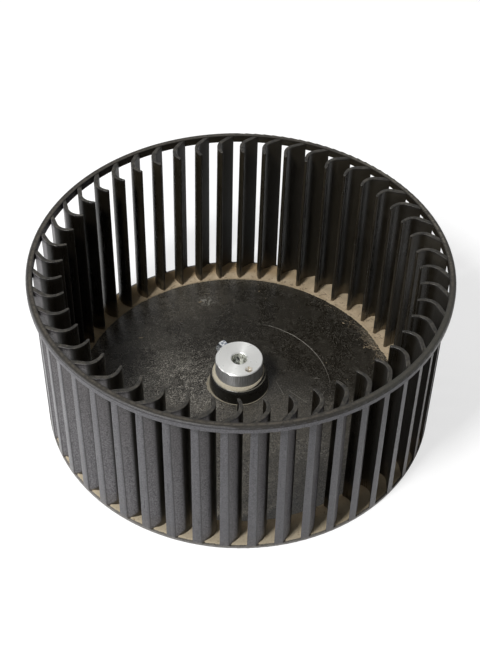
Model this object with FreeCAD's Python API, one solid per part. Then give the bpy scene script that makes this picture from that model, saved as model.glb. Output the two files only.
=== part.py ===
import FreeCAD, Part
import math
import os

# Forward-curved (squirrel-cage) blower wheel: a moulded back plate carries 48
# blades, an inlet ring ties their far ends together, and a metal hub with a
# hexagon-headed set screw is held in a moulded boss in the plate's middle.
# Millimetres, +Z up, the inlet on top.
# Origin: on the shaft axis, in the plane of the wheel's lowest face.

# --- wheel -----------------------------------------------------------------
WHEEL_R = 127.0         # outer radius of the inlet ring, a 10 in wheel
WHEEL_H = 115.0         # overall height

RING_W = 3.8            # inlet ring, across its wall
RING_H = 5.0
RING_TOP_FILLET = 1.4
RING_LOW_FILLET = 0.7

PLATE_T = 2.2           # back plate thickness
PLATE_MARGIN = 1.0      # flat band that shows inside the blades' inner tips
PLATE_EDGE_FILLET = 0.6
DISH_RISE = 7.1         # how far the plate climbs from the flat band to the boss
DISH_SAG = 1.0          # hollow of that climb, under its straight chord

# --- blades ----------------------------------------------------------------
BLADES = 48
BLADE_PHASE = -37.37    # angle of the first blade's inner tip, degrees
BLADE_DOWN = 0.2        # blade tops lie this far under the ring's top
APEX_IN = 11.2          # from the blades' outer ends in to the camber's apex
APEX_X = 1.35           # sideways offset of the apex from the tip's radius
INNER_ARC_R = 11.4      # camber radius from the inner tip to the apex
OUTER_ARC_R = 8.1       # camber radius from the apex to the straight tail
TIP_TURN = 29.7         # degrees turned by the inner arc
OUTER_TURN = 52.0       # degrees turned by the outer arc
TIP_T = 1.8             # thickness at the inner tip, at the top
TAIL_T = 2.6            # thickness of the tail, at the top
DRAFT = 0.8             # extra thickness at the foot, on the convex side
NOSE = 0.8              # how far the rounded inner tip bulges

# --- boss and hub ----------------------------------------------------------
HUB_R = 15.2            # metal hub
HUB_STAND = 10.6        # bare height of the hub above the boss
HUB_CHAMFER = 0.5
BORE_R = 4.7625         # 3/8 in shaft
BORE_CHAMFER = 0.7
DIMPLE_R = 2.2          # drill-point dimple in the hub's top face
DIMPLE_FLAT_R = 0.2
DIMPLE_DEPTH = 0.9
DIMPLE_IN = 3.8         # from the hub's rim in to the dimple's centre
DIMPLE_AZ = -56.7

LEDGE_W = 2.0           # sloping ledge of the boss, around the hub
LEDGE_FALL = 2.1
SHOULDER_W = 1.3        # rounded shoulder below the ledge
SHOULDER_H = 2.3
SHOULDER_BULGE = 0.27
BOSS_H = 8.1            # boss wall from the plate up to the shoulder
BOSS_DRAFT = 0.7        # the wall leans out by this much at its foot
BOSS_LOW_Z = 2.0        # underside of the boss
LIP_T = 2.0             # lip of the boss under the hub
LIP_GAP = 3.2           # the lip stays this far outside the bore

# --- set screw -------------------------------------------------------------
SCREW_AZ = 125.0        # direction that the screw points out in
SCREW_UP = 4.2          # screw axis above the boss
SCREW_R = 3.1           # shank radius
SCREW_CLEAR = 0.05      # running clearance of the shank in its hole
SCREW_BACK = 0.44       # the tip stays this far short of the bore's wall
SCREW_POINT = 0.9       # turned cone of the tip, 45 degrees
HEAD_STEP = 0.87        # half the head's width across flats, past the shank
HEAD_L = 4.8            # length of the head
HEAD_GAP = 0.9          # from the hub's side to the head
BEVEL_SHARE = 0.95      # flat end circle of the head, of its width across flats
BEVEL_DEG = 30.0

# --- worked out from the above ----------------------------------------------
BODY_R = WHEEL_R - RING_W           # outer radius of the blades and the plate
BLADE_TOP = WHEEL_H - BLADE_DOWN
APEX_R = BODY_R - APEX_IN
INNER_ARC_X = APEX_X - INNER_ARC_R  # centres of the two camber arcs lie at
OUTER_ARC_X = APEX_X - OUTER_ARC_R  # the apex's height
TIP_X = INNER_ARC_X + INNER_ARC_R * math.cos(math.radians(TIP_TURN))
TIP_Y = APEX_R - INNER_ARC_R * math.sin(math.radians(TIP_TURN))
PLATE_FLAT_R = math.hypot(TIP_X, TIP_Y) - 0.5 * TIP_T - NOSE - PLATE_MARGIN

LEDGE_R = HUB_R + LEDGE_W
NECK_R = LEDGE_R + SHOULDER_W
FOOT_R = NECK_R + BOSS_DRAFT
DISH_TOP_Z = PLATE_T + DISH_RISE
NECK_Z = DISH_TOP_Z + BOSS_H
LEDGE_Z = NECK_Z + SHOULDER_H
BOSS_TOP_Z = LEDGE_Z + LEDGE_FALL
HUB_TOP_Z = BOSS_TOP_Z + HUB_STAND
SEAT_Z = BOSS_LOW_Z + LIP_T

SCREW_Z = BOSS_TOP_Z + SCREW_UP
SCREW_TIP = BORE_R + SCREW_BACK
HEAD_AF = 2 * (SCREW_R + HEAD_STEP)
HEAD_IN = HUB_R + HEAD_GAP

X = FreeCAD.Vector(1, 0, 0)
Z = FreeCAD.Vector(0, 0, 1)
O = FreeCAD.Vector(0, 0, 0)


def vec(x, y, z=0.0):
    return FreeCAD.Vector(x, y, z)


def bulged(start, end, height):
    """Arc item for revolve(): from start to end, its middle standing off the
    chord by height, to the right of the way from start to end."""
    dx, dz = end[0] - start[0], end[1] - start[1]
    share = height / math.hypot(dx, dz)
    middle = (0.5 * (start[0] + end[0]) + share * dz,
              0.5 * (start[1] + end[1]) - share * dx)
    return ("arc", middle, end)


def revolve(points):
    """Solid of revolution from (radius, height) corners; an ('arc', middle,
    end) item curves from the corner before it through middle to end."""
    first = points[0]
    at = vec(first[0], 0, first[1])
    edges = []
    for item in points[1:] + [first]:
        if item[0] == "arc":
            middle = vec(item[1][0], 0, item[1][1])
            end = vec(item[2][0], 0, item[2][1])
            edges.append(Part.Arc(at, middle, end).toShape())
        else:
            end = vec(item[0], 0, item[1])
            edges.append(Part.makeLine(at, end))
        at = end
    return Part.Face(Part.Wire(edges)).revolve(O, Z, 360)


def circle_edges(shape, radius, z):
    """Full-circle edges of the given radius at the given height."""
    found = []
    for edge in shape.Edges:
        curve = edge.Curve
        if not isinstance(curve, Part.Circle):
            continue
        if abs(curve.Radius - radius) < 1e-4 and abs(curve.Center.z - z) < 1e-4:
            found.append(edge)
    return found


def inlet_ring():
    low = WHEEL_H - RING_H
    ring = revolve([(BODY_R, low), (WHEEL_R, low),
                    (WHEEL_R, WHEEL_H), (BODY_R, WHEEL_H)])
    top = circle_edges(ring, WHEEL_R, WHEEL_H)
    ring = ring.makeFillet(RING_TOP_FILLET, top)
    return ring.makeFillet(RING_LOW_FILLET, circle_edges(ring, WHEEL_R, low))


def back_plate():
    outer, inner = (PLATE_FLAT_R, PLATE_T), (FOOT_R, DISH_TOP_Z)
    under_inner = (FOOT_R, DISH_TOP_Z - PLATE_T)
    under_outer = (PLATE_FLAT_R, 0.0)
    plate = revolve([
        (BODY_R, 0.0), (BODY_R, PLATE_T), outer,
        bulged(outer, inner, -DISH_SAG),
        under_inner,
        bulged(under_inner, under_outer, DISH_SAG),
    ])
    return plate.makeFillet(PLATE_EDGE_FILLET, circle_edges(plate, BODY_R, 0))


def arc_point(centre_x, radius, degrees):
    """Point of a camber arc, whose centre lies at the apex's height."""
    a = math.radians(degrees)
    return (centre_x + radius * math.cos(a), APEX_R + radius * math.sin(a))


def blade_side(z, offset_tip, offset_tail):
    """One side of a blade, from its inner tip to past its outer end, as
    points of two arcs and a line. The offsets are from the camber line."""
    offset_apex = 0.5 * (offset_tip + offset_tail)
    tip_r = INNER_ARC_R + offset_tip
    apex_r = INNER_ARC_R + offset_apex
    bend_r = OUTER_ARC_R + offset_tail
    tip = arc_point(INNER_ARC_X, tip_r, -TIP_TURN)
    inner = arc_point(INNER_ARC_X, 0.5 * (tip_r + apex_r), -0.5 * TIP_TURN)
    apex = arc_point(INNER_ARC_X, apex_r, 0)
    outer = arc_point(OUTER_ARC_X, OUTER_ARC_R + 0.5 * (offset_apex + offset_tail),
                      0.5 * OUTER_TURN)
    bend = arc_point(OUTER_ARC_X, bend_r, OUTER_TURN)
    run = 2 * APEX_IN           # long enough to cross the trimming cylinder
    a = math.radians(90 + OUTER_TURN)
    tail = (bend[0] + run * math.cos(a), bend[1] + run * math.sin(a))
    # seen from the inlet the tail sweeps clockwise, so x is turned over
    return [vec(-x, y, z) for x, y in (tip, inner, apex, outer, bend, tail)]


def blade_section(z, grow):
    """Closed blade outline at height z, for a blade whose inner tip lies near
    the +Y axis; grow thickens its convex side."""
    hollow = blade_side(z, -0.5 * TIP_T, -0.5 * TAIL_T)
    convex = blade_side(z, 0.5 * TIP_T + grow, 0.5 * TAIL_T + grow)
    a = math.radians(TIP_TURN)
    nose = 0.5 * (hollow[0] + convex[0]) + vec(-NOSE * math.sin(a), -NOSE * math.cos(a))
    return Part.Wire([
        Part.Arc(hollow[0], hollow[1], hollow[2]).toShape(),
        Part.Arc(hollow[2], hollow[3], hollow[4]).toShape(),
        Part.makeLine(hollow[4], hollow[5]),
        Part.makeLine(hollow[5], convex[5]),
        Part.makeLine(convex[5], convex[4]),
        Part.Arc(convex[4], convex[3], convex[2]).toShape(),
        Part.Arc(convex[2], convex[1], convex[0]).toShape(),
        Part.Arc(convex[0], nose, hollow[0]).toShape(),
    ])


def blade():
    foot = blade_section(PLATE_T, DRAFT)
    top = blade_section(BLADE_TOP, 0.0)
    body = Part.makeLoft([foot, top], True, True)
    trim = Part.makeCylinder(BODY_R, WHEEL_H)
    return body.common(trim).Solids[0]


def hub_boss():
    lip_r = BORE_R + LIP_GAP
    neck, ledge = (NECK_R, NECK_Z), (LEDGE_R, LEDGE_Z)
    return revolve([
        (lip_r, BOSS_LOW_Z), (FOOT_R, BOSS_LOW_Z), (FOOT_R, DISH_TOP_Z), neck,
        bulged(neck, ledge, SHOULDER_BULGE),
        (HUB_R, BOSS_TOP_Z), (HUB_R, SEAT_Z), (lip_r, SEAT_Z),
    ])


def polar(radius, degrees, z):
    a = math.radians(degrees)
    return vec(radius * math.cos(a), radius * math.sin(a), z)


def hub_insert():
    hub = revolve([
        (BORE_R, SEAT_Z), (HUB_R, SEAT_Z), (HUB_R, HUB_TOP_Z - HUB_CHAMFER),
        (HUB_R - HUB_CHAMFER, HUB_TOP_Z), (BORE_R + BORE_CHAMFER, HUB_TOP_Z),
        (BORE_R, HUB_TOP_Z - BORE_CHAMFER),
    ])
    hole = Part.makeCylinder(SCREW_R + SCREW_CLEAR, 2 * HUB_R,
                             vec(0, 0, SCREW_Z), polar(1, SCREW_AZ, 0))
    at = polar(HUB_R - DIMPLE_IN, DIMPLE_AZ, HUB_TOP_Z - DIMPLE_DEPTH)
    dimple = Part.makeCone(DIMPLE_FLAT_R, DIMPLE_R, DIMPLE_DEPTH, at, Z)
    return hub.cut(hole).cut(dimple).Solids[0]


def set_screw():
    """Built along +X from the shaft axis, then turned and lifted to its hole."""
    shank = Part.makeCylinder(SCREW_R, HEAD_IN - SCREW_TIP - SCREW_POINT,
                              vec(SCREW_TIP + SCREW_POINT, 0), X)
    point = Part.makeCone(SCREW_R - SCREW_POINT, SCREW_R, SCREW_POINT,
                          vec(SCREW_TIP, 0), X)
    corner = HEAD_AF / math.sqrt(3)
    hexagon = []
    for k in range(7):
        a = math.radians(60 * k)
        hexagon.append(vec(HEAD_IN, corner * math.cos(a), corner * math.sin(a)))
    head = Part.Face(Part.makePolygon(hexagon)).extrude(X * HEAD_L)
    # the turned bevel takes the outer corners off the hexagon
    end_r = 0.5 * BEVEL_SHARE * HEAD_AF
    start_r = end_r + HEAD_L / math.tan(math.radians(BEVEL_DEG))
    head = head.common(Part.makeCone(start_r, end_r, HEAD_L, vec(HEAD_IN, 0), X))
    screw = point.fuse([shank, head]).removeSplitter().Solids[0]
    screw.rotate(O, Z, SCREW_AZ)
    screw.translate(vec(0, 0, SCREW_Z))
    return screw


def main():
    os.makedirs("parts", exist_ok=True)
    parts = {
        "inlet_ring": inlet_ring(),
        "back_plate": back_plate(),
        "hub_boss": hub_boss(),
        "hub_insert": hub_insert(),
        "set_screw": set_screw(),
    }
    master = blade()
    for k in range(BLADES):
        copy = master.copy()
        copy.rotate(O, Z, BLADE_PHASE - 90 + k * 360.0 / BLADES)
        parts["blade_%02d" % (k + 1)] = copy
    for name, shape in parts.items():
        assert shape.isValid() and len(shape.Solids) == 1, name
        shape.exportStep("parts/%s.step" % name)
        box = shape.BoundBox
        print("%-12s vol %9.1f  z %.2f..%.2f" % (name, shape.Volume,
                                                 box.ZMin, box.ZMax))


main()
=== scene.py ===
"""Looks for a forward-curved blower wheel: black moulded plastic with dust, an
aluminium hub and a steel set screw, on a white studio floor."""

import bmesh
import bpy
import math
import random
from mathutils import Matrix, Vector, noise
from mathutils.bvhtree import BVHTree
from mathutils.kdtree import KDTree


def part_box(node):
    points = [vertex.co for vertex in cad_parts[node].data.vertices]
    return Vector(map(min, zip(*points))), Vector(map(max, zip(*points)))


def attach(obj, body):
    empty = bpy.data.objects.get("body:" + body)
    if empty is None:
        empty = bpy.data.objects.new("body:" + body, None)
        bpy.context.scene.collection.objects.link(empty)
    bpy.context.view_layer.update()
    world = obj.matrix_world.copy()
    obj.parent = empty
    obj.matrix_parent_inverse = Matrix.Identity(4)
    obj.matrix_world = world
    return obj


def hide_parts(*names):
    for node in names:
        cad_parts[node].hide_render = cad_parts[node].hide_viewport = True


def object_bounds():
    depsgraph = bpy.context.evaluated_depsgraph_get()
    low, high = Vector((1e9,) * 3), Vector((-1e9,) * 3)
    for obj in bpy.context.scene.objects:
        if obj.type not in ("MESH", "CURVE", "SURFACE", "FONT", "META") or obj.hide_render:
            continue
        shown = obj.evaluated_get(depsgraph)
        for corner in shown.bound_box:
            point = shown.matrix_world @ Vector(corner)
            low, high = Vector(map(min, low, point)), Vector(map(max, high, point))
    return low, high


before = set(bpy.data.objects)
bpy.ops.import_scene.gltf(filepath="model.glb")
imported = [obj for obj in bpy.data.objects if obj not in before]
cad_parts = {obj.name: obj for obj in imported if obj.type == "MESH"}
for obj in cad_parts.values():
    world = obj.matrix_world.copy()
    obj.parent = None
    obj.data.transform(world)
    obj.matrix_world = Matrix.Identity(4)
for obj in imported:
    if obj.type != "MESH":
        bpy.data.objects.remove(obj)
CAD_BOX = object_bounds()

MM = 0.001
WHEEL_LOW, WHEEL_HIGH = CAD_BOX
WHEEL_R = WHEEL_HIGH.x
WHEEL_H = WHEEL_HIGH.z
BODY_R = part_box("back_plate")[1].x
FLOOR_Z = WHEEL_LOW.z
BOSS_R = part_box("hub_boss")[1].x
BOSS_TOP_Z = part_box("hub_boss")[1].z
HUB_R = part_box("hub_insert")[1].x
HUB_TOP_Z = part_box("hub_insert")[1].z
BLADE_LOW_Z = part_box("blade_01")[0].z       # top of the back plate's flat band
BLADES = sorted(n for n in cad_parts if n.startswith("blade_"))
LEDGE_R = 17.2 * MM         # outer edge of the boss's sloping ledge around the hub
LEDGE_Z = 19.7 * MM         # height of that edge
BORE_R = 4.7625 * MM        # the hub's bore
DIMPLE_R = 2.2 * MM         # drill mark in the hub's top face
DIMPLE_AT = 11.4 * MM       # its distance from the axis
DIMPLE_AZ = -56.7           # in degrees, as all azimuths are


# --- camera ------------------------------------------------------------------
CAM_ELEVATION = 45.669      # degrees above the horizon
CAM_ROLL = 1.234
CAM_DISTANCE = 0.8526       # to the plane through the origin, square to the view
CAM_RIGHT = 0.00095         # the camera's offset in its own plane
CAM_UP = 0.04227
CAM_LENS = 71.498           # in mm, as is the sensor
CAM_SENSOR = 36.0           # along the long side


def make_camera():
    """The camera at the photograph's viewing angle."""
    e, roll = math.radians(CAM_ELEVATION), math.radians(CAM_ROLL)
    forward = Vector((0, math.cos(e), -math.sin(e)))
    level_up = Vector((0, math.sin(e), math.cos(e)))
    level_right = Vector((1, 0, 0))
    right = math.cos(roll) * level_right + math.sin(roll) * level_up
    up = -math.sin(roll) * level_right + math.cos(roll) * level_up
    place = -CAM_DISTANCE * forward + CAM_RIGHT * right + CAM_UP * up
    axes = Matrix((right, up, -forward)).transposed().to_4x4()
    data = bpy.data.cameras.new("camera")
    data.sensor_width = CAM_SENSOR
    data.lens = CAM_LENS
    data.clip_start, data.clip_end = 0.05, 50.0
    camera = bpy.data.objects.new("camera", data)
    camera.matrix_world = Matrix.Translation(place) @ axes
    bpy.context.scene.collection.objects.link(camera)
    bpy.context.scene.camera = camera


# --- rounded blades ------------------------------------------------------------------
EDGE_ROUND = 0.32 * MM      # rounding of a blade's top edge
ROUND_DEGREES = (0, 22.5, 45, 67.5, 90)
CORNER_PASSES = 3           # passes that round the corners of a blade's outline
CORNER_SHARE = 0.5          # how far each pass moves a corner
OUTER_CORNER_SHARE = 0.12   # the same within OUTER_ZONE of the blade's outer end
OUTER_ZONE = 1.0 * MM
OUTLINE_POINTS = 140
FOOT_FLARE = 0.45 * MM      # a blade spreads by this much where it grows from the plate
FOOT_FLARE_H = 0.9 * MM
FLARE_STEPS = (0.0, 0.3, 0.65, 1.0)
SAME = 1e-6                 # corners closer than this are one


def outline(mesh, z):
    """Outline of a mesh's flat end at height z, anticlockwise, from the first of
    the corners that lie on the wheel's body radius."""
    work = bmesh.new()
    work.from_mesh(mesh)
    bmesh.ops.remove_doubles(work, verts=work.verts, dist=SAME)
    cap = {f for f in work.faces if all(abs(v.co.z - z) < SAME for v in f.verts)}
    ahead = {}
    for edge in work.edges:
        if sum(f in cap for f in edge.link_faces) == 1:
            a, b = edge.verts
            ahead.setdefault(a, []).append(b)
            ahead.setdefault(b, []).append(a)
    first = next(iter(ahead))
    loop, last, here = [first], None, first
    while True:
        following = [v for v in ahead[here] if v is not last][0]
        if following is first:
            break
        loop.append(following)
        last, here = here, following
    points = [v.co.xy.copy() for v in loop]
    work.free()
    area = sum(a.cross(b) for a, b in zip(points, points[1:] + points[:1]))
    if area < 0:
        points.reverse()
    outer = [p.length > BODY_R - 0.01 * MM for p in points]
    start = next(i for i in range(len(points)) if outer[i] and not outer[i - 1])
    return points[start:] + points[:start]


def resample(points, count):
    """The closed outline again as count points, evenly spaced along it."""
    closed = points + points[:1]
    lengths = [0.0]
    for a, b in zip(closed, closed[1:]):
        lengths.append(lengths[-1] + (b - a).length)
    result, k = [], 0
    for i in range(count):
        target = lengths[-1] * i / count
        while lengths[k + 1] < target:
            k += 1
        share = (target - lengths[k]) / (lengths[k + 1] - lengths[k])
        result.append(closed[k].lerp(closed[k + 1], share))
    return result


def smooth_loop(points, passes):
    """Rounds the outline's corners, less at its outer end than at its inner tip."""
    for _ in range(passes):
        rounded = []
        for a, b, c in zip(points[-1:] + points[:-1], points, points[1:] + points[:1]):
            share = OUTER_CORNER_SHARE if b.length > BODY_R - OUTER_ZONE else CORNER_SHARE
            rounded.append(b.lerp(0.5 * (a + c), share))
        points = rounded
    return points


def grown(points, by):
    """A closed outline moved outwards by a distance, kept inside the wheel's body."""
    result = []
    for a, b, c in zip(points[-1:] + points[:-1], points, points[1:] + points[:1]):
        along = (c - a).normalized()
        moved = b + by * Vector((along.y, -along.x))
        reach = moved.length
        result.append(moved * (BODY_R / reach) if reach > BODY_R else moved)
    return result


def blade_rows(node):
    """Outlines of one blade from its foot to its rounded top, as (points, height)."""
    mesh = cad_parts[node].data
    low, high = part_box(node)
    loops = [smooth_loop(resample(outline(mesh, z), OUTLINE_POINTS), CORNER_PASSES)
             for z in (low.z, high.z)]
    foot, top = loops

    def section(z):
        share = (z - low.z) / (high.z - low.z)
        return [a.lerp(b, share) for a, b in zip(foot, top)]

    rows = []
    for step in FLARE_STEPS:
        z = low.z + step * FOOT_FLARE_H
        rows.append((grown(section(z), FOOT_FLARE * (1.0 - step) ** 2), z))
    middle = 0.5 * (low.z + high.z)
    rows.append((section(middle), middle))
    for degrees in ROUND_DEGREES:
        a = math.radians(degrees)
        z = high.z - EDGE_ROUND * (1.0 - math.sin(a))
        rows.append((grown(section(z), -EDGE_ROUND * (1.0 - math.cos(a))), z))
    return rows


def lofted(name, rows):
    """A closed mesh through outlines with equal numbers of points."""
    count = len(rows[0][0])
    corners = [(p.x, p.y, z) for points, z in rows for p in points]
    faces = []
    for r in range(len(rows) - 1):
        for i in range(count):
            j = (i + 1) % count
            faces.append((r * count + i, r * count + j, (r + 1) * count + j, (r + 1) * count + i))
    faces.append(tuple(range(count - 1, -1, -1)))
    faces.append(tuple(range((len(rows) - 1) * count, len(rows) * count)))
    return new_piece(name, corners, faces)


def new_piece(name, corners, faces, smooth_angle=40.0):
    """A mesh object, smooth but for edges sharper than an angle in degrees."""
    mesh = bpy.data.meshes.new(name)
    mesh.from_pydata(corners, [], faces)
    mesh.update()
    mesh.polygons.foreach_set("use_smooth", [True] * len(mesh.polygons))
    mesh.set_sharp_from_angle(angle=math.radians(smooth_angle))
    piece = bpy.data.objects.new(name, mesh)
    bpy.context.scene.collection.objects.link(piece)
    return piece


def make_blades(material):
    """Every blade again with rounded edges, each in its CAD blade's place."""
    for node in BLADES:
        piece = body_piece(lofted("round_" + node, blade_rows(node)), material)
        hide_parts(node)


# --- dust and lint ---------------------------------------------------------------------
def plate_surface():
    """A function that gives the height of the plate's upper side at (x, y)."""
    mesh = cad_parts["back_plate"].data
    tree = BVHTree.FromPolygons([v.co for v in mesh.vertices], [p.vertices for p in mesh.polygons])

    def height(x, y):
        hit = tree.ray_cast(Vector((x, y, WHEEL_H)), Vector((0, 0, -1)))
        return hit[0].z

    return height


def swept_ring(name, steps, profile):
    """A closed ring: profile(azimuth) gives the (radius, height) corners of its section."""
    corners, faces = [], []
    count = len(profile(0.0))
    for k in range(steps):
        a = 2 * math.pi * k / steps
        for radius, z in profile(a):
            corners.append((radius * math.cos(a), radius * math.sin(a), z))
    for k in range(steps):
        n = (k + 1) % steps
        for i in range(count):
            j = (i + 1) % count
            faces.append((k * count + i, n * count + i, n * count + j, k * count + j))
    return new_piece(name, corners, faces, 60.0)


def wobble(x, y, scale, seed=0.0):
    """Smooth noise from about -1 to 1, for a place in metres and a scale per metre."""
    return noise.noise(Vector((x * scale, y * scale, seed)))


DUST_INNER_R = 104.7 * MM       # the dust thins out just inside the blades' inner tips
DUST_OUTER_R = BODY_R - 1.0 * MM
DUST_STEPS = 1440
DUST_ROWS = 34                  # corners across the band's top
DUST_UNDER_ROWS = 4             # and across its underside
DUST_BED = 0.30 * MM            # depth of the dust between the blades
DRIFT_H = 0.75 * MM             # extra depth against the blades' feet
DRIFT_REACH = 1.1 * MM          # distance over which that falls off
INNER_FADE = 1.3 * MM           # widths over which the band's edges rise
OUTER_FADE = 0.9 * MM
WIDE_AZ, WIDE_SPREAD = 50.0, 24.0       # degrees; where the dust band is a little wider
WIDE_REACH = 1.5 * MM
PATCH_AZ, PATCH_SPREAD = 23.0, 9.0      # degrees; where dust and lint reach furthest in
PATCH_REACH = 2.0 * MM
FOOT_DUST_W = 0.45 * MM         # dust at the boss's foot, wider on one side
FOOT_DUST_WIDER = 1.6 * MM
FOOT_DUST_H = 0.30 * MM
FOOT_DUST_AZ, FOOT_DUST_SPREAD = 188.0, 28.0
LEDGE_DUST_H = 0.30 * MM        # dust on the boss's ledge, thinner on one side
LEDGE_THIN_AZ, LEDGE_THIN_SPREAD = -20.0, 42.0
SMALL_RING_STEPS = 360          # steps round the boss's two lines of dust
SMALL_RING_ROWS = 9             # and corners across each one's top
BURIED = 0.12 * MM              # how far the dust's edges dip under the surface


def blade_feet():
    """KD tree of points around the feet of all the blades."""
    tree = KDTree(len(BLADES) * OUTLINE_POINTS)
    for k, node in enumerate(BLADES):
        points = resample(outline(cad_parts[node].data, BLADE_LOW_Z), OUTLINE_POINTS)
        for i, p in enumerate(points):
            tree.insert((p.x, p.y, 0.0), k * OUTLINE_POINTS + i)
    tree.balance()
    return tree


def swell(a, degrees, spread):
    """1 at an azimuth, falling off either side; a is in radians, the rest in degrees."""
    gap = abs((math.degrees(a) - degrees + 180.0) % 360.0 - 180.0)
    return math.exp(-(gap / spread) ** 2)


def make_rim_dust(material, height):
    """Dust on the plate's flat rim between the blades, drifted against their feet."""
    feet = blade_feet()

    def depth(x, y):
        _, _, gap = feet.find((x, y, 0.0))
        drift = DRIFT_H * math.exp(-gap / DRIFT_REACH)
        bed = DUST_BED + 0.14 * MM * wobble(x, y, 160) + 0.07 * MM * wobble(x, y, 700, 3.0)
        return bed + drift

    def profile(a):
        ca, sa = math.cos(a), math.sin(a)
        patch = PATCH_REACH * swell(a, PATCH_AZ, PATCH_SPREAD)
        ragged = 0.35 * MM * wobble(ca, sa, 60, 1.0) + 0.25 * MM * wobble(ca, sa, 300, 2.0)
        wide = WIDE_REACH * swell(a, WIDE_AZ, WIDE_SPREAD)
        inner = DUST_INNER_R - wide - patch * (0.8 + 0.5 * wobble(ca, sa, 90, 5.0)) + ragged
        outer = DUST_OUTER_R - 0.5 * MM * max(0.0, wobble(ca, sa, 120, 4.0))
        rows = []
        for i in range(DUST_ROWS):
            share = i / (DUST_ROWS - 1)
            radius = inner + share * (outer - inner)
            x, y = radius * ca, radius * sa
            fade = min(1.0, (radius - inner) / INNER_FADE, (outer - radius) / OUTER_FADE)
            rise = fade * (2.0 - fade) * depth(x, y)
            rows.append((radius, height(x, y) + (rise if 0 < i < DUST_ROWS - 1 else -BURIED)))
        for i in range(1, DUST_UNDER_ROWS):
            radius = outer + i / DUST_UNDER_ROWS * (inner - outer)
            rows.append((radius, height(radius * ca, radius * sa) - 2 * BURIED))
        return rows

    return body_piece(swept_ring("rim_dust", DUST_STEPS, profile), material)


def make_foot_dust(material, height):
    """Dust gathered in the corner between the plate and the boss."""
    inner = BOSS_R - 0.1 * MM

    def profile(a):
        ca, sa = math.cos(a), math.sin(a)
        spread = FOOT_DUST_W + FOOT_DUST_WIDER * swell(a, FOOT_DUST_AZ, FOOT_DUST_SPREAD)
        spread *= 1.0 + 0.35 * wobble(ca, sa, 9, 1.0) + 0.2 * wobble(ca, sa, 45, 2.0)
        rise = FOOT_DUST_H * (1.0 + 0.4 * wobble(ca, sa, 20, 3.0))
        rows = []
        for i in range(SMALL_RING_ROWS):
            share = i / (SMALL_RING_ROWS - 1)
            radius = inner + share * (spread + 0.1 * MM)
            lift = rise * (1.0 - share) ** 1.8 + 0.10 * MM * (1.0 - share)
            on_plate = max(radius, BOSS_R + 0.05 * MM)
            rows.append((radius, height(on_plate * ca, on_plate * sa) + lift))
        outer = rows[-1][0]
        rows[-1] = (outer, rows[-1][1] - BURIED)
        rows.append((0.5 * (inner + outer), rows[-1][1] - BURIED))
        rows.append((inner, rows[0][1] - rise - BURIED))
        return rows

    return body_piece(swept_ring("boss_foot_dust", SMALL_RING_STEPS, profile), material)


def make_ledge_dust(material):
    """Dust packed on the boss's sloping ledge around the hub."""
    run, fall = LEDGE_R - HUB_R, BOSS_TOP_Z - LEDGE_Z
    slope = math.hypot(run, fall)
    out_r, out_z = fall / slope, run / slope        # square to the slope, outwards

    def corner(share, lift):
        return HUB_R + share * run + lift * out_r, BOSS_TOP_Z - share * fall + lift * out_z

    def profile(a):
        ca, sa = math.cos(a), math.sin(a)
        thin = swell(a, LEDGE_THIN_AZ, LEDGE_THIN_SPREAD)
        first = 0.01 + 0.08 * thin
        last = 1.02 - 0.52 * thin + 0.05 * wobble(ca, sa, 14, 1.0)
        thick = LEDGE_DUST_H * (1.0 - 0.4 * thin) * (1.0 + 0.4 * wobble(ca, sa, 12, 2.0))
        rows = []
        for i in range(SMALL_RING_ROWS - 1):
            along = i / (SMALL_RING_ROWS - 1)
            crown = math.sin(math.pi * (0.12 + 0.88 * along)) ** 0.6
            rows.append(corner(first + (last - first) * along, thick * crown))
        return rows + [corner(share, -BURIED) for share in (last, 0.5 * (first + last), first)]

    return body_piece(swept_ring("ledge_dust", SMALL_RING_STEPS, profile), material)


LINT_RADIUS, LINT_COUNT = 0.05 * MM, 70
HAIR_RADIUS, HAIR_COUNT = 0.10 * MM, 70
MORE_HAIRS = 44             # hairs on the right-hand part of the dust alone
HAIR_BED = 0.32 * MM        # the hairs lie this far above the plate, on the dust
FIBRE_POINTS = 7
FIBRE_LOFT = 0.25 * MM      # how far a fibre may rise between its ends


def make_fibres(name, starts, thick, bed, stride, bends, material, height, draw):
    """Fine hairs that start at (azimuth in degrees, radius) and lie on a bed of some depth."""
    curve = bpy.data.curves.new(name, "CURVE")
    curve.dimensions = "3D"
    curve.bevel_depth = thick
    curve.bevel_resolution = 1
    for degrees, radius in starts:
        az = math.radians(degrees)
        x, y = radius * math.cos(az), radius * math.sin(az)
        heading = draw.uniform(0, 2 * math.pi)
        bend = draw.uniform(-bends, bends)
        step = draw.uniform(0.65, 1.35) * stride
        line = curve.splines.new("NURBS")
        line.points.add(FIBRE_POINTS - 1)
        for k, point in enumerate(line.points):
            lift = bed + thick + (FIBRE_LOFT * draw.random() if 0 < k < FIBRE_POINTS - 1 else 0.0)
            point.co = (x, y, height(x, y) + lift, 1.0)
            heading += bend + draw.uniform(-0.3, 0.3)
            x += step * math.cos(heading)
            y += step * math.sin(heading)
        line.order_u = 3
        line.use_endpoint_u = True
    piece = bpy.data.objects.new(name, curve)
    bpy.context.scene.collection.objects.link(piece)
    return body_piece(piece, material)


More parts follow.
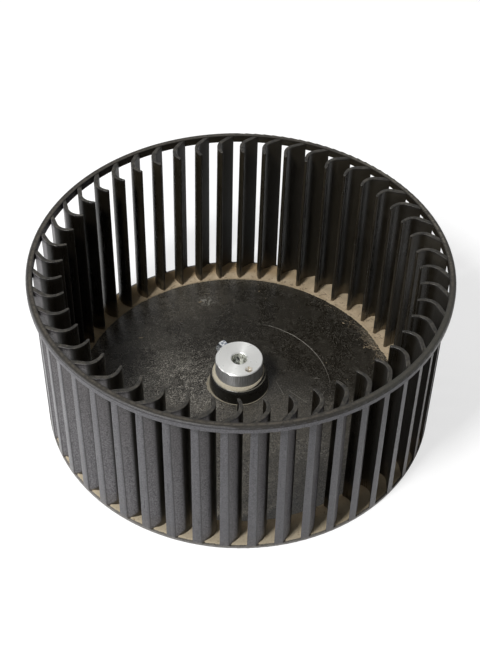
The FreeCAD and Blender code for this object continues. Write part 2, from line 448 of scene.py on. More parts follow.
def make_lint(pale, dark, height):
    """Pale lint where the dust reaches furthest in, and dark hairs lying on the dust."""
    draw = random.Random(4)
    starts = [(draw.gauss(PATCH_AZ, 8.0), draw.uniform(97.5, 102.5) * MM) for _ in range(LINT_COUNT)]
    make_fibres("lint_fibres", starts, LINT_RADIUS, 0.0, 1.1 * MM, 0.9, pale, height, draw)
    starts = [(draw.uniform(14.0, 78.0), draw.uniform(103.0, 111.0) * MM) for _ in range(MORE_HAIRS)]
    starts += [(draw.uniform(0.0, 360.0), draw.uniform(104.0, 116.0) * MM) for _ in range(HAIR_COUNT)]
    make_fibres("dark_hairs", starts, HAIR_RADIUS, HAIR_BED, 0.6 * MM, 1.1, dark, height, draw)


CRUMBS = 420
CRUMBS_ON_DUST = 0.6        # their share that lies on the dust, the rest on the plate
CRUMB_BED = 0.3 * MM        # height of those above the plate
FLAKE_W, FLAKE_T = 0.45 * MM, 0.16 * MM
LUMP_SIDES = 6
# Bigger flakes on the plate: x, y, length in millimetres and heading in degrees.
FLAKES = ((-66.7, 44.1, 4.0, 5), (-28.2, 80.1, 2.8, 20), (13.0, 92.5, 1.6, 75), (71.0, 63.0, 2.4, -35),
          (84.0, 40.0, 1.8, 60))


def add_lump(corners, faces, x, y, z, length, width, thick, heading, draw):
    """A low irregular flake: a six-sided dome that dips into the surface."""
    start = len(corners)
    ch, sh = math.cos(heading), math.sin(heading)
    for ring, lift in ((1.0, -0.3), (0.62, 0.75)):
        for k in range(LUMP_SIDES):
            a = 2 * math.pi * k / LUMP_SIDES
            u = ring * length * math.cos(a) * draw.uniform(0.8, 1.2)
            v = ring * width * math.sin(a) * draw.uniform(0.8, 1.2)
            corners.append((x + u * ch - v * sh, y + u * sh + v * ch, z + lift * thick))
    corners.append((x, y, z + thick))
    middle, top = start + LUMP_SIDES, start + 2 * LUMP_SIDES
    for k in range(LUMP_SIDES):
        n = (k + 1) % LUMP_SIDES
        faces.append((start + k, start + n, middle + n, middle + k))
        faces.append((middle + k, middle + n, top))
    faces.append(tuple(start + k for k in reversed(range(LUMP_SIDES))))


def make_crumbs(material, height):
    """Loose crumbs on the dust and the plate, and the few bigger flakes."""
    draw = random.Random(11)
    corners, faces = [], []
    for _ in range(CRUMBS):
        az = draw.uniform(0, 2 * math.pi)
        if draw.random() < CRUMBS_ON_DUST:
            radius, lift = draw.uniform(103.0, 121.0) * MM, CRUMB_BED
        else:
            radius, lift = draw.uniform(24.0, 103.0) * MM, 0.0
        size = draw.uniform(0.10, 0.28) * MM
        x, y = radius * math.cos(az), radius * math.sin(az)
        add_lump(corners, faces, x, y, height(x, y) + lift, size, size * draw.uniform(0.5, 1.0), 0.7 * size,
                 draw.uniform(0, math.pi), draw)
    for x, y, length, heading in FLAKES:
        x, y = x * MM, y * MM
        add_lump(corners, faces, x, y, height(x, y), 0.5 * length * MM, FLAKE_W, FLAKE_T,
                 math.radians(heading), draw)
    return body_piece(new_piece("dust_crumbs", corners, faces), material)


def body_piece(piece, material):
    """Gives a new piece its material and lets it move with the wheel."""
    piece.data.materials.append(material)
    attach(piece, "wheel")
    return piece


# --- shader helpers ------------------------------------------------------------
class Shader:
    """A material's node tree with short calls to add and link nodes."""

    def __init__(self, name):
        self.material = bpy.data.materials.new(name)
        self.material.use_nodes = True
        self.tree = self.material.node_tree
        self.tree.nodes.clear()
        self.out = self.tree.nodes.new("ShaderNodeOutputMaterial")
        self.coords = self.tree.nodes.new("ShaderNodeTexCoord").outputs["Object"]

    def put(self, socket, value):
        if isinstance(value, bpy.types.NodeSocket):
            self.tree.links.new(value, socket)
        elif value is not None:
            socket.default_value = value

    def node(self, kind, settings=None, **inputs):
        node = self.tree.nodes.new("ShaderNode" + kind)
        for key, value in (settings or {}).items():
            setattr(node, key, value)
        for key, value in inputs.items():
            self.put(node.inputs[key.replace("_", " ")], value)
        return node

    def maths(self, operation, a, b=None):
        node = self.node("Math", {"operation": operation})
        for socket, value in zip(node.inputs, (a, b)):
            self.put(socket, value)
        return node.outputs[0]

    def times(self, first, *others):
        for value in others:
            first = self.maths("MULTIPLY", first, value)
        return first

    def plus(self, a, b):
        return self.maths("ADD", a, b)

    def minus(self, a, b):
        return self.maths("SUBTRACT", a, b)

    def most(self, first, *others):
        for value in others:
            first = self.maths("MAXIMUM", first, value)
        return first

    def less(self, value, where, share=1.0):
        """The value lowered by a share of itself, in proportion to another value."""
        return self.times(value, self.minus(1.0, self.times(where, share)))

    def range(self, value, low, high, to_low=0.0, to_high=1.0):
        """A smooth step from to_low at low to to_high at high."""
        node = self.node("MapRange", {"interpolation_type": "SMOOTHSTEP"})
        self.put(node.inputs["Value"], value)
        for key, number in (("From Min", low), ("From Max", high), ("To Min", to_low), ("To Max", to_high)):
            self.put(node.inputs[key], number)
        return node.outputs[0]

    def near(self, value, place, close, far, share=1.0, rest=0.0):
        """share where the value is close to a place, and rest where it is far from it."""
        return self.range(self.maths("ABSOLUTE", self.minus(value, place)), close, far, share, rest)

    def away(self, x, y, from_x, from_y, squash=1.0):
        """Distance from a point, with y counted squash times."""
        dx, dy = self.minus(x, from_x), self.times(self.minus(y, from_y), squash)
        return self.maths("SQRT", self.plus(self.maths("POWER", dx, 2.0), self.maths("POWER", dy, 2.0)))

    def mix(self, share, a, b):
        node = self.node("Mix", {"data_type": "RGBA"})
        self.put(node.inputs[0], share)
        for socket, value in ((node.inputs[6], a), (node.inputs[7], b)):
            self.put(socket, value if isinstance(value, bpy.types.NodeSocket) else (*value, 1.0))
        return node.outputs[2]

    def noise(self, scale, detail=3.0, rough=0.55, vector=None, distortion=0.0):
        node = self.node("TexNoise", Scale=scale, Detail=detail, Roughness=rough, Distortion=distortion)
        self.put(node.inputs["Vector"], vector or self.coords)
        return node.outputs["Fac"]

    def noise_at(self, detail, rough, **place):
        """Noise at a place given by its own X, Y or Z, already scaled."""
        return self.noise(1.0, detail, rough, self.node("CombineXYZ", **place).outputs[0])

    def stretched(self, x, y, z):
        node = self.node("Mapping")
        self.put(node.inputs["Vector"], self.coords)
        node.inputs["Scale"].default_value = (x, y, z)
        return node.outputs[0]

    def xyz(self):
        node = self.node("SeparateXYZ")
        self.put(node.inputs[0], self.coords)
        return node.outputs[0], node.outputs[1], node.outputs[2]

    def radius(self):
        x, y, _ = self.xyz()
        return self.maths("SQRT", self.plus(self.times(x, x), self.times(y, y)))

    def azimuth(self):
        """Angle round the wheel's axis, in radians."""
        x, y, _ = self.xyz()
        return self.maths("ARCTAN2", y, x)

    def facing(self):
        """The surface's normal, as x, y and z."""
        node = self.node("SeparateXYZ")
        self.put(node.inputs[0], self.node("NewGeometry").outputs["Normal"])
        return node.outputs[0], node.outputs[1], node.outputs[2]

    def facing_out(self):
        """1 where the surface faces away from the wheel's axis, -1 where it faces the axis."""
        x, y, _ = self.xyz()
        nx, ny, _ = self.facing()
        return self.maths("DIVIDE", self.plus(self.times(x, nx), self.times(y, ny)), self.radius())

    def along_ring(self, around, across):
        """Noise in streaks that run around the wheel, with scales around (per radian) and across."""
        return self.noise_at(4.0, 0.7, X=self.times(self.azimuth(), around),
                             Y=self.times(self.radius(), across))

    def bump(self, height, strength, distance, normal=None):
        node = self.node("Bump", Height=height, Strength=strength, Distance=distance)
        self.put(node.inputs["Normal"], normal)
        return node.outputs[0]

    def principled(self, color, roughness, normal, **fixed):
        node = self.node("BsdfPrincipled")
        self.put(node.inputs["Base Color"], color)
        self.put(node.inputs["Roughness"], roughness)
        self.put(node.inputs["Normal"], normal)
        for key, value in fixed.items():
            self.put(node.inputs[key.replace("_", " ")], value)
        self.put(self.out.inputs["Surface"], node.outputs[0])


# --- black plastic -------------------------------------------------------------------
INSIDE_DARK = (0.0072, 0.0056, 0.0033)      # blades' sides that face inwards
INSIDE_PALE = (0.0148, 0.0121, 0.0076)
INSIDE_SHADED = (0.0030, 0.0023, 0.0014)     # painted shade: darker at the left and in front
INSIDE_BACK = (0.0190, 0.0155, 0.0095)
INSIDE_TIP_HIGHLIGHT = (0.0400, 0.0335, 0.0240)
OUTSIDE_DARK = (0.0270, 0.0255, 0.0275)     # blades' scuffed sides that face outwards
OUTSIDE_PALE = (0.1280, 0.1220, 0.1290)
OUTSIDE_HIGH = (0.0400, 0.0335, 0.0300)     # browner towards the ring
OUTSIDE_SHEEN = (0.1750, 0.1660, 0.1740)
LAND_DARK = (0.0330, 0.0320, 0.0355)        # blades' narrow outer edges
LAND_PALE = (0.0850, 0.0825, 0.0895)
LAND_SHEEN = (0.2100, 0.2020, 0.1920)
EDGE_LINE = (0.0100, 0.0090, 0.0085)        # dark lines beside the lands and round the ring
TOP_DARK = (0.0075, 0.0068, 0.0052)         # blades' tops
TOP_DIRT = (0.0430, 0.0380, 0.0300)
RING_DARK = (0.0090, 0.0075, 0.0052)        # ring's top
RING_PALE = (0.0500, 0.0425, 0.0325)
RING_DUSTY = (0.1050, 0.0960, 0.0760)
RING_DULL = (0.0210, 0.0205, 0.0165)
FOOT_DIRT = (0.0950, 0.0700, 0.0400)        # brown film that rises from the blades' feet
FOOT_DARK = (0.0210, 0.0160, 0.0100)            # darker in the corner at the blades' feet
FOOT_DARK_R = 122.0 * MM        # the darkening climbs the blades inwards from this radius
FOOT_DARK_SLOPE = 1.3
FOOT_DARK_H = 0.7 * MM
FOOT_DIRT_H = 24 * MM       # the brown film reaches up to this height
FOOT_DIRT_LEAST = 1.5 * MM  # and nowhere less than this
RING_BAND_R = BODY_R + 1.35 * MM    # middle of the dusty band on the ring's top
GROOVE_Z = WHEEL_H - 1.25 * MM      # dark line around the ring's face, under its top edge
TIP_HIGHLIGHT_R = 107.6 * MM     # a painted highlight near the inner tips of the right-hand blades
PALE_FROM, PALE_TO = 117.8 * MM, 119.3 * MM     # radii where a blade's rounded side turns pale
PLASTIC_GRAIN = 1250        # noise scales are per metre
PLASTIC_FINE_GRAIN = 3200


def inside_plastic(s, x, y, r, cloud, streak):
    """Colour of the blades' sides that face the wheel's axis, with painted shade at the left and in front
    and a painted highlight near the right-hand blades' inner tips.
    """
    color = s.mix(s.range(cloud, 0.35, 0.65), INSIDE_DARK, INSIDE_PALE)
    # Painted shade: the inside faces are darker at the left and in front.
    shaded = s.most(s.range(x, -0.80 * WHEEL_R, -0.40 * WHEEL_R, 1.0, 0.0),
                   s.range(y, -0.30 * WHEEL_R, 0.10 * WHEEL_R, 0.8, 0.0))
    color = s.mix(shaded, color, INSIDE_SHADED)
    color = s.mix(s.range(y, 0.45 * WHEEL_R, 0.85 * WHEEL_R, 0.0, 0.6), color, INSIDE_BACK)
    # A painted highlight on the inner tips of the right-hand blades.
    tip_highlight = s.times(s.near(r, TIP_HIGHLIGHT_R, 0.6 * MM, 2.2 * MM),
                  s.range(x, 0.25 * WHEEL_R, 0.6 * WHEEL_R),
                  s.range(y, 0.0, 0.2 * WHEEL_R),
                  s.range(streak, 0.3, 0.6, 0.35, 1.0))
    return s.mix(tip_highlight, color, INSIDE_TIP_HIGHLIGHT)


def outside_plastic(s, x, y, z, scuff):
    """Colour of the blades' sides that face outwards, with a painted sheen at the left."""
    color = s.mix(scuff, OUTSIDE_DARK, OUTSIDE_PALE)
    color = s.mix(s.range(z, 0.25 * WHEEL_H, 0.95 * WHEEL_H, 0.0, 0.38), color, OUTSIDE_HIGH)
    # A painted sheen: paler at the left, where the flanks catch the bright surroundings at a grazing angle.
    painted_shine = s.times(s.range(x, -0.9 * WHEEL_R, -0.6 * WHEEL_R, 0.55, 0.0),
                   s.range(y, -0.45 * WHEEL_R, -0.05 * WHEEL_R))
    return s.mix(painted_shine, color, OUTSIDE_SHEEN)


def top_plastic(s, x, y, r, grain):
    """Colour of the blades' tops and, outside them, of the ring's top."""
    blade_top = s.mix(s.range(s.noise(330, 5.0, 0.75), 0.40, 0.66), TOP_DARK, TOP_DIRT)
    dull = s.times(s.range(x, 0.3 * WHEEL_R, 0.7 * WHEEL_R),
                   s.range(y, -0.3 * WHEEL_R, 0.0, 1.0, 0.0))
    dusty = s.times(s.range(x, 0.2 * WHEEL_R, 0.8 * WHEEL_R),
                    s.range(y, -0.1 * WHEEL_R, 0.2 * WHEEL_R))
    band = s.times(s.near(r, RING_BAND_R, 0.2 * MM, 1.1 * MM),
                   s.range(s.along_ring(60.0, 300.0), 0.38, 0.60, 0.10, 1.15))
    ring = s.mix(s.less(band, dull, 0.6), s.mix(dull, RING_DARK, RING_DULL),
                 s.mix(dusty, RING_PALE, RING_DUSTY))
    ring = s.mix(s.range(grain, 0.46, 0.62, 0.0, 0.30), ring, RING_PALE)
    ring = s.mix(s.range(grain, 0.34, 0.48, 0.45, 0.0), ring, RING_DARK)
    return s.mix(s.range(r, BODY_R - 0.3 * MM, BODY_R), blade_top, ring)


def plastic():
    """Black moulded plastic: dark inside the wheel, scuffed and dusty outside, with painted light and shade
    in places.
    """
    s = Shader("moulded_plastic")
    x, y, z = s.xyz()
    r = s.radius()
    grain = s.noise(PLASTIC_GRAIN, 3.0, 0.65)
    cloud = s.noise(55, 4.0, 0.6)
    streak = s.noise(1.0, 3.0, 0.65, s.stretched(620, 620, 26))
    scuff = s.range(s.plus(s.times(grain, 0.8), s.times(streak, 0.2)), 0.36, 0.64)
    outward = s.range(s.facing_out(), -0.15, 0.15)
    color = s.mix(s.times(outward, s.range(r, PALE_FROM, PALE_TO)),
                  inside_plastic(s, x, y, r, cloud, streak),
                  outside_plastic(s, x, y, z, scuff))
    beside_land = s.times(outward, s.range(r, BODY_R - 0.75 * MM, BODY_R - 0.55 * MM), 0.75)
    color = s.mix(beside_land, color, EDGE_LINE)
    land = s.mix(scuff, LAND_DARK, LAND_PALE)
    # A painted sheen: paler lands at the right, facing the bright surroundings.
    land = s.mix(s.range(x, 0.68 * WHEEL_R, 0.97 * WHEEL_R, 0.0, 0.9), land, LAND_SHEEN)
    on_land = s.times(outward, s.range(r, BODY_R - 0.35 * MM, BODY_R - 0.2 * MM))
    color = s.mix(on_land, color, land)
    color = s.mix(s.near(z, GROOVE_Z, 0.16 * MM, 0.44 * MM, 0.88), color, EDGE_LINE)
    color = s.mix(s.range(s.facing()[2], 0.35, 0.9), color, top_plastic(s, x, y, r, grain))

    up = s.minus(z, BLADE_LOW_Z)
    climb = s.plus(s.times(s.most(s.minus(FOOT_DARK_R, r), 0.0), FOOT_DARK_SLOPE), FOOT_DARK_H)
    foot_dark = s.times(s.range(s.minus(up, climb), -0.5 * MM, 0.7 * MM, 0.9, 0.0),
                    s.range(r, 117 * MM, 118 * MM), outward,
                    s.range(r, BODY_R - 0.6 * MM, BODY_R - 0.3 * MM, 1.0, 0.0))
    color = s.mix(foot_dark, color, FOOT_DARK)
    reach = s.times(s.range(s.noise(75, 3.0), 0.3, 0.75), FOOT_DIRT_H)
    film = s.times(s.range(up, 0.0, s.plus(reach, FOOT_DIRT_LEAST), 1.0, 0.0),
                   s.range(r, 0.93 * BODY_R, 0.97 * BODY_R, 1.0, 0.15),
                   s.range(grain, 0.2, 0.6, 0.5, 1.0))
    color = s.mix(film, color, FOOT_DIRT)

    rough = s.range(s.plus(s.times(streak, 0.6), s.times(cloud, 0.4)), 0.35, 0.65, 0.24, 0.36)
    matt = s.times(s.range(r, 0.905 * BODY_R, 0.955 * BODY_R),
                   s.near(r, BODY_R, 0.1 * MM, 0.4 * MM, 0.2, 1.0), 0.16)
    normal = s.bump(grain, 0.6, 0.16 * MM)
    normal = s.bump(s.noise(PLASTIC_FINE_GRAIN, 2.0, 0.6), 0.4, 0.03 * MM, normal)
    s.principled(color, s.plus(rough, matt), normal, IOR=1.42)
    return s.material


# --- plate ---------------------------------------------------------------------
PLATE_DARK = (0.0065, 0.0050, 0.0028)
PLATE_PALE = (0.0125, 0.0104, 0.0068)
BOSS_BLACK = (0.0048, 0.0042, 0.0030)
PLATE_HAZE = (0.085, 0.074, 0.056)
PLATE_SPECK = (0.350, 0.328, 0.285)
PLATE_EDGE_DARK = (0.080, 0.074, 0.067)
PLATE_EDGE_PALE = (0.150, 0.141, 0.129)
LEDGE_HIGHLIGHT = (0.16, 0.15, 0.12)
SMUDGE = (0.26, 0.25, 0.22)
SCRATCH = (0.30, 0.285, 0.25)
SPARSE_FROM, SPARSE_TO = 2.0, 113.0       # azimuths between which the plate has fewer pale specks
SPECKS_MOST_X, SPECKS_MOST_Y = -38 * MM, -12 * MM   # the plate's pale specks, dust and painted glints, are densest around here
SMUDGE_X, SMUDGE_Y = -23 * MM, 81 * MM  # a pale smudge on the plate
REAR_AZ = 112.0                         # azimuth of a hazy strip at the plate's back
ARC_R = 60.0 * MM                       # a scratch along an arc, strongest at its middle
ARC_HALF_WIDTH = 0.26 * MM
SCRATCH_HALF_WIDTH = 0.22 * MM
# Straight scratches in the plate, in millimetres: start x, y and end x, y.
SCRATCHES = ((48.0, 8.4, 53.5, 8.4), (24.0, 3.0, 29.0, -8.0), (32.0, -4.0, 45.0, -14.0),
             (56.0, -2.0, 53.0, -10.0))


def segment_mark(s, x, y, line, half_width):
    """1 on a thin straight line between two points given in millimetres."""
    x0, y0, x1, y1 = (MM * v for v in line)
    length = math.hypot(x1 - x0, y1 - y0)
    tx, ty = (x1 - x0) / length, (y1 - y0) / length
    dx, dy = s.minus(x, x0), s.minus(y, y0)
    along = s.plus(s.times(dx, tx), s.times(dy, ty))
    across = s.minus(s.times(dy, tx), s.times(dx, ty))
    return s.times(s.near(along, 0.5 * length, 0.38 * length, 0.5 * length),
                   s.near(across, 0.0, 0.4 * half_width, half_width))


def plate_haze(s, x, y, r, az):
    """Brownish haze: in front, near the edge, at the back and round the patch of lint."""
    haze = s.most(s.range(y, -22 * MM, 0.0, 0.40, 0.0), s.range(y, -78 * MM, 0.0, 0.76, 0.0))
    cleaner = s.times(s.range(x, 12 * MM, 58 * MM), s.range(y, -78 * MM, -64 * MM),
                      s.range(y, -24 * MM, -8 * MM, 1.0, 0.0))
    haze = s.less(haze, cleaner, 0.60)
    edge = s.times(s.range(r, 94 * MM, 105 * MM, 0.0, 0.55), s.range(az, 60.0, 90.0, 0.5, 1.0))
    rear = s.times(s.near(az, REAR_AZ, 6.0, 24.0, 0.42), s.range(r, 62 * MM, 86 * MM))
    fuzz = s.times(s.near(az, PATCH_AZ, 5.0, 14.0, 0.9), s.range(r, 96.5 * MM, 101 * MM))
    return s.times(s.most(haze, edge, rear, fuzz),
                   s.range(s.noise(220, 4.0, 0.7), 0.3, 0.65, 0.35, 1.0),
                   s.range(s.noise(950, 3.0, 0.75), 0.42, 0.58, 0.12, 1.75))


def speck_share(s, x, y, sparse, patch):
    """How much of the pale specks, dust and painted glints, shows: most at the left, fewest in one sector.
    """
    film = s.times(s.range(sparse, 0.0, 1.0, 1.0, 0.40),
                   s.range(s.away(x, y, SPECKS_MOST_X, SPECKS_MOST_Y), 14 * MM, 62 * MM, 1.0, 0.24),
                   s.range(patch, 0.0, 1.0, 0.65, 1.0),
                   s.range(y, -48 * MM, -12 * MM, 0.2, 1.0))
    ahead = s.times(s.range(x, -32 * MM, -16 * MM), s.range(y, -22 * MM, -10 * MM, 0.50, 0.0))
    return s.most(s.less(film, ahead), s.range(y, -72 * MM, -34 * MM, 0.42, 0.16))


def plate_marks(s, x, y, r, az):
    """The scratch along an arc, and the fainter straight ones."""
    marks = s.times(s.near(r, ARC_R, 0.10 * MM, ARC_HALF_WIDTH),
                    s.range(az, -6.0, 44.0), s.range(az, 66.0, 77.0, 1.0, 0.0))
    for line in SCRATCHES:
        marks = s.most(marks, s.times(segment_mark(s, x, y, line, SCRATCH_HALF_WIDTH), 0.42))
    return s.times(marks, s.range(s.noise(300, 2.0), 0.2, 0.5, 0.5, 1.0))


def plate_plastic():
    """The plate and boss: near-black, with pale specks of dust and painted glints, sparse in one sector."""
    s = Shader("plate_plastic")
    x, y, z = s.xyz()
    r = s.radius()
    az = s.maths("DEGREES", s.azimuth())
    ragged_az = s.plus(az, s.times(s.minus(s.noise(45, 3.0), 0.5), 16.0))
    on_plate = s.times(s.range(r, BOSS_R + 0.3 * MM, BOSS_R + 1.5 * MM), s.range(s.facing()[2], -0.2, 0.5))
    sparse = s.times(s.range(ragged_az, SPARSE_FROM - 5, SPARSE_FROM + 5),
                    s.range(ragged_az, SPARSE_TO - 4, SPARSE_TO + 4, 1.0, 0.0))
    patch = s.range(s.noise(40, 4.0, 0.65), 0.32, 0.68)
    grain = s.noise(900, 4.0, 0.75)
    color = s.mix(patch, PLATE_DARK, PLATE_PALE)
    color = s.mix(s.range(r, BOSS_R, BOSS_R + 0.4 * MM), BOSS_BLACK, color)
    color = s.mix(s.times(plate_haze(s, x, y, r, ragged_az), on_plate), color, PLATE_HAZE)
    # Pale specks: dust specks and painted glints, densest at the left.
    speck = s.times(s.range(s.noise(1350, 2.5, 0.7), 0.47, 0.63),
                    s.range(s.noise(260, 3.0, 0.6), 0.32, 0.62, 0.30, 1.0), on_plate)
    color = s.mix(s.times(speck, speck_share(s, x, y, sparse, patch)), color, PLATE_SPECK)
    smudge = s.times(s.range(s.away(x, y, SMUDGE_X, SMUDGE_Y, 1.3), 2 * MM, 9 * MM, 0.8, 0.0),
                     s.range(s.noise(480, 4.0, 0.7, distortion=0.6), 0.50, 0.62), on_plate)
    color = s.mix(smudge, color, SMUDGE)
    color = s.mix(s.times(plate_marks(s, x, y, r, az), on_plate), color, SCRATCH)
    # The bare plate rim outside the dust: the band is bare plate, its fall from left to right is painted
    # light.
    bare_rim_and_light = s.times(s.range(r, BODY_R - 2.0 * MM, BODY_R - 1.2 * MM),
                       s.range(x, -95 * MM, 0.0, 0.9, 0.25), on_plate)
    color = s.mix(bare_rim_and_light, color, PLATE_EDGE_PALE)
    on_edge = s.times(s.range(r, BODY_R - 0.2 * MM, BODY_R), s.range(s.facing_out(), 0.2, 0.6))
    scuffed = s.mix(s.range(grain, 0.35, 0.65), PLATE_EDGE_DARK, PLATE_EDGE_PALE)
    color = s.mix(on_edge, color, scuffed)
    # A painted highlight along the boss's shoulder, just outside its ledge.
    painted_shine = s.times(s.near(r, LEDGE_R + 0.1 * MM, 0.10 * MM, 0.32 * MM, 0.8),
                   s.range(z, LEDGE_Z - 0.8 * MM, LEDGE_Z - 0.5 * MM))
    color = s.mix(painted_shine, color, LEDGE_HIGHLIGHT)
    s.principled(color, s.range(patch, 0.0, 1.0, 0.20, 0.34), s.bump(grain, 0.5, 0.20 * MM), IOR=1.48)
    return s.material


# --- dust, lint, metal -----------------------------------------------------------------
DUST_DARK = (0.350, 0.272, 0.178)
DUST_PALE = (0.440, 0.352, 0.242)
DUST_OUTER = (0.325, 0.278, 0.200)      # between the blades, towards their outer ends
# painted shade: browner where the blades shade the dust at the back
DUST_SHADED_BACK = (0.290, 0.205, 0.112)
DUST_BROWN_SHADE = (0.130, 0.098, 0.052)      # brown dust and painted shade, at the back left and the front right
DUST_FRINGE = (0.180, 0.145, 0.095)     # along the band's inner edge
DUST_LEDGE = (0.385, 0.350, 0.272)
DUST_BOSS_FOOT = (0.17, 0.155, 0.12)
# Small spots in the dust: noise scale, detail, roughness, distortion, the noise from
# and to which they fade in, their greatest share, and their colour.
DUST_SPOTS = ((2600, 4.0, 0.7, 0.0, 0.52, 0.75, 1.0, (0.30, 0.23, 0.15)),
              (420, 3.0, 0.6, 0.0, 0.62, 0.74, 1.0, (0.20, 0.15, 0.095)),
              (850, 3.0, 0.65, 0.4, 0.57, 0.70, 0.75, (0.17, 0.135, 0.090)))
HAIR_DARK = (0.030, 0.022, 0.014)
HAIR_PALE = (0.110, 0.085, 0.055)
TURNED_DARK = (0.76, 0.76, 0.735)       # the hub's top
TURNED_PALE = (0.88, 0.88, 0.855)
WALL_PALE = (0.40, 0.40, 0.40)          # the hub's side
WALL_DARK = (0.235, 0.232, 0.225)
BORE_DARK = (0.150, 0.155, 0.115)
BORE_BRIGHT = (0.93, 0.94, 0.86)
STAIN = (0.46, 0.385, 0.27)             # in the drill mark
STEEL_DARK = (0.30, 0.33, 0.39)
STEEL_PALE = (0.95, 0.97, 0.96)


def dust():
    """Settled dust, paler or browner by its place on the wheel, with painted shade where the blades shade
    it.
    """
    s = Shader("settled_dust")
    x, y, _ = s.xyz()
    r = s.radius()
    color = s.mix(s.range(s.noise(120, 4.0, 0.6), 0.3, 0.7), DUST_DARK, DUST_PALE)
    # Towards the blades' outer ends, and browner at the back as painted shade.
    back = s.times(s.range(y, 0.2 * WHEEL_R, 0.5 * WHEEL_R), s.range(x, 10 * MM, 60 * MM, 1.0, 0.35))
    color = s.mix(s.range(r, 109 * MM, 115 * MM), color, s.mix(back, DUST_OUTER, DUST_SHADED_BACK))
    # Browner and darker at the back left and the front right: brown dust and painted shade.
    brown_shade = s.most(s.times(s.range(x, -95 * MM, -40 * MM, 0.80, 0.0), s.range(y, 0.0, 40 * MM)),
                   s.times(s.range(x, 20 * MM, 90 * MM, 0.0, 0.50), s.range(y, -60 * MM, 0.0, 1.0, 0.0)))
    color = s.mix(brown_shade, color, DUST_BROWN_SHADE)
    fringe = s.times(s.range(r, 104.9 * MM, 106.2 * MM, 0.75, 0.0), s.range(x, 0.0, 50 * MM, 1.0, 0.4))
    color = s.mix(fringe, color, DUST_FRINGE)
    center = s.mix(s.range(r, HUB_R + 2.2 * MM, HUB_R + 3.6 * MM), DUST_LEDGE, DUST_BOSS_FOOT)
    color = s.mix(s.range(r, 40 * MM, 60 * MM, 1.0, 0.0), color, center)
    for scale, detail, rough, distortion, low, high, share, spot in DUST_SPOTS:
        speckle = s.noise(scale, detail, rough, distortion=distortion)
        color = s.mix(s.range(speckle, low, high, 0.0, share), color, spot)
    s.principled(color, 0.95, s.bump(s.noise(1500, 4.0, 0.7), 0.6, 0.18 * MM), IOR=1.3)
    return s.material


def hair():
    """Dark brown hairs, paler here and there."""
    s = Shader("dark_hair")
    color = s.mix(s.range(s.noise(300, 3.0), 0.35, 0.65), HAIR_DARK, HAIR_PALE)
    s.principled(color, 0.7, s.bump(s.noise(2500, 3.0, 0.7), 0.4, 0.02 * MM), IOR=1.4)
    return s.material


def aluminium():
    """Turned aluminium: fine rings on the top, fine lines down the side."""
    s = Shader("hub_aluminium")
    x, y, z = s.xyz()
    r = s.radius()
    rings = s.noise_at(2.0, 0.6, X=s.times(r, 5200.0))
    lines = s.noise_at(3.0, 0.7, X=s.times(s.azimuth(), 44.0), Y=s.times(z, 90.0))
    cloud = s.noise(260, 4.0, 0.6)
    side = s.range(s.maths("ABSOLUTE", s.facing()[2]), 0.3, 0.7, 1.0, 0.0)
    walls = s.mix(s.range(lines, 0.35, 0.62), WALL_PALE, WALL_DARK)
    color = s.mix(side, s.mix(cloud, TURNED_DARK, TURNED_PALE), walls)
    in_bore = s.range(r, BORE_R + 0.02 * MM, BORE_R + 0.16 * MM, 0.93, 0.0)
    bore = s.mix(s.range(s.noise(750, 4.0, 0.75), 0.38, 0.55), BORE_DARK, BORE_BRIGHT)
    color = s.mix(in_bore, color, bore)
    dimple_az = math.radians(DIMPLE_AZ)
    from_dimple = s.away(x, y, DIMPLE_AT * math.cos(dimple_az), DIMPLE_AT * math.sin(dimple_az))
    stain = s.times(s.range(from_dimple, 0.95 * DIMPLE_R, 1.35 * DIMPLE_R, 1.0, 0.0),
                    s.range(z, HUB_TOP_Z - 1.2 * MM, HUB_TOP_Z - 0.9 * MM),
                    s.range(s.noise(900, 3.0), 0.35, 0.6))
    color = s.mix(stain, color, STAIN)
    normal = s.bump(rings, 0.25, 0.02 * MM)
    normal = s.bump(lines, 0.15, 0.03 * MM, normal)
    tangent = s.node("Tangent", {"direction_type": "RADIAL", "axis": "Z"})
    rough = s.plus(s.range(cloud, 0.3, 0.7, 0.27, 0.36), s.times(side, 0.17))
    s.principled(color, rough, normal, Metallic=0.9, Anisotropic=0.8, Anisotropic_Rotation=0.25,
                 Tangent=tangent.outputs[0])
    return s.material


def steel():
    """The screw's tarnished steel."""
    s = Shader("screw_steel")
    cloud = s.noise(420, 3.0, 0.6)
    color = s.mix(s.range(cloud, 0.38, 0.53), STEEL_DARK, STEEL_PALE)
    s.principled(color, s.range(cloud, 0.3, 0.7, 0.12, 0.24), s.bump(cloud, 0.08, 0.05 * MM), Metallic=1.0)
    return s.material


def dress(nodes, material):
    """Gives CAD nodes a material, without changing their shapes."""
    for name in nodes:
        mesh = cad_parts[name].data
        mesh.materials.clear()
        mesh.materials.append(material)


# --- stage ---------------------------------------------------------------------
FLOOR_HALF = 12.0                   # half the floor's side, in metres
FLOOR_WHITE = (0.93, 0.93, 0.93)    # as the object sees the floor
FLOOR_SEEN = (0.353, 0.353, 0.353)  # as the camera sees it, plus the glow: white, with soft shadows
FLOOR_GLOW = 0.68
FLOOR_NEAR, FLOOR_FAR = 0.3, 1.6    # the glow rises to white between these distances
ROOM_LIGHT = 0.19                   # the world as it lights the object
ROOM_SHINE = 0.72                   # the world as glossy surfaces reflect it
WHITE = (1.0, 1.0, 1.0, 1.0)
# Name, place and size in metres, and power in watts.
LAMPS = (("key", (-0.645, -0.797, 1.474), (0.29, 0.29), 31.5),
         ("side", (-1.46, -0.15, 0.75), (0.9, 0.9), 11.0),
         ("back", (-1.25, 1.05, 0.50), (1.2, 0.8), 6.0),
         ("top", (-0.3, 0.35, 1.7), (1.4, 1.4), 1.5))


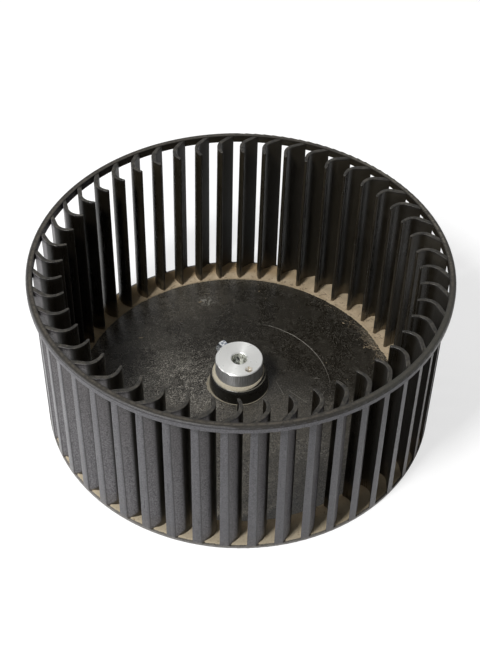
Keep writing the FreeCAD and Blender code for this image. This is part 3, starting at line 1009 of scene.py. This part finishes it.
def make_floor():
    """A white floor with a soft shadow."""
    mesh = bpy.data.meshes.new("floor")
    corners = [(FLOOR_HALF * a, FLOOR_HALF * b, FLOOR_Z) for a, b in ((-1, -1), (1, -1), (1, 1), (-1, 1))]
    mesh.from_pydata(corners, [], [(0, 1, 2, 3)])
    floor = bpy.data.objects.new("floor", mesh)
    bpy.context.scene.collection.objects.link(floor)
    s = Shader("floor_white")
    seen = s.node("LightPath").outputs["Is Camera Ray"]
    shade = s.node("BsdfDiffuse", Color=s.mix(seen, FLOOR_WHITE, FLOOR_SEEN))
    glow = s.node("Emission", Color=WHITE)
    level = s.range(s.radius(), FLOOR_NEAR, FLOOR_FAR, FLOOR_GLOW, 1.0)
    s.put(glow.inputs["Strength"], s.times(seen, level))
    both = s.node("AddShader")
    s.put(both.inputs[0], shade.outputs[0])
    s.put(both.inputs[1], glow.outputs[0])
    s.put(s.out.inputs["Surface"], both.outputs[0])
    mesh.materials.append(s.material)


def make_world():
    """A white surround for the camera, dimmer as a light and in reflections."""
    world = bpy.data.worlds.new("studio")
    bpy.context.scene.world = world
    world.use_nodes = True
    tree = world.node_tree
    tree.nodes.clear()
    out = tree.nodes.new("ShaderNodeOutputWorld")
    path = tree.nodes.new("ShaderNodeLightPath")
    shown = tree.nodes.new("ShaderNodeMath")
    shown.operation = "MAXIMUM"
    tree.links.new(path.outputs["Is Camera Ray"], shown.inputs[0])
    tree.links.new(path.outputs["Is Transmission Ray"], shown.inputs[1])
    room = tree.nodes.new("ShaderNodeMix")
    room.data_type = "FLOAT"
    tree.links.new(path.outputs["Is Glossy Ray"], room.inputs[0])
    room.inputs[2].default_value = ROOM_LIGHT
    room.inputs[3].default_value = ROOM_SHINE
    level = tree.nodes.new("ShaderNodeMix")
    level.data_type = "FLOAT"
    tree.links.new(shown.outputs[0], level.inputs[0])
    tree.links.new(room.outputs[0], level.inputs[2])
    level.inputs[3].default_value = 1.0
    sky = tree.nodes.new("ShaderNodeBackground")
    tree.links.new(level.outputs[0], sky.inputs["Strength"])
    sky.inputs["Color"].default_value = WHITE
    tree.links.new(sky.outputs[0], out.inputs["Surface"])


def make_lights():
    """Soft studio lamps that all aim at the wheel's middle."""
    centre = Vector((0.0, 0.0, 0.5 * WHEEL_H))
    for name, place, size, power in LAMPS:
        data = bpy.data.lights.new(name, "AREA")
        data.shape = "RECTANGLE"
        data.size, data.size_y = size
        data.energy = power
        light = bpy.data.objects.new(name, data)
        light.location = place
        light.rotation_euler = (centre - Vector(place)).to_track_quat("-Z", "Y").to_euler()
        bpy.context.scene.collection.objects.link(light)


make_camera()
black = plastic()
dress(BLADES + ["inlet_ring"], black)
make_blades(black)
dress(["back_plate", "hub_boss"], plate_plastic())
settled, plate_height = dust(), plate_surface()
make_rim_dust(settled, plate_height)
make_foot_dust(settled, plate_height)
make_ledge_dust(settled)
make_lint(settled, hair(), plate_height)
make_crumbs(settled, plate_height)
dress(["hub_insert"], aluminium())
dress(["set_screw"], steel())
make_floor()
make_world()
make_lights()

bpy.context.scene.view_settings.view_transform = "Standard"
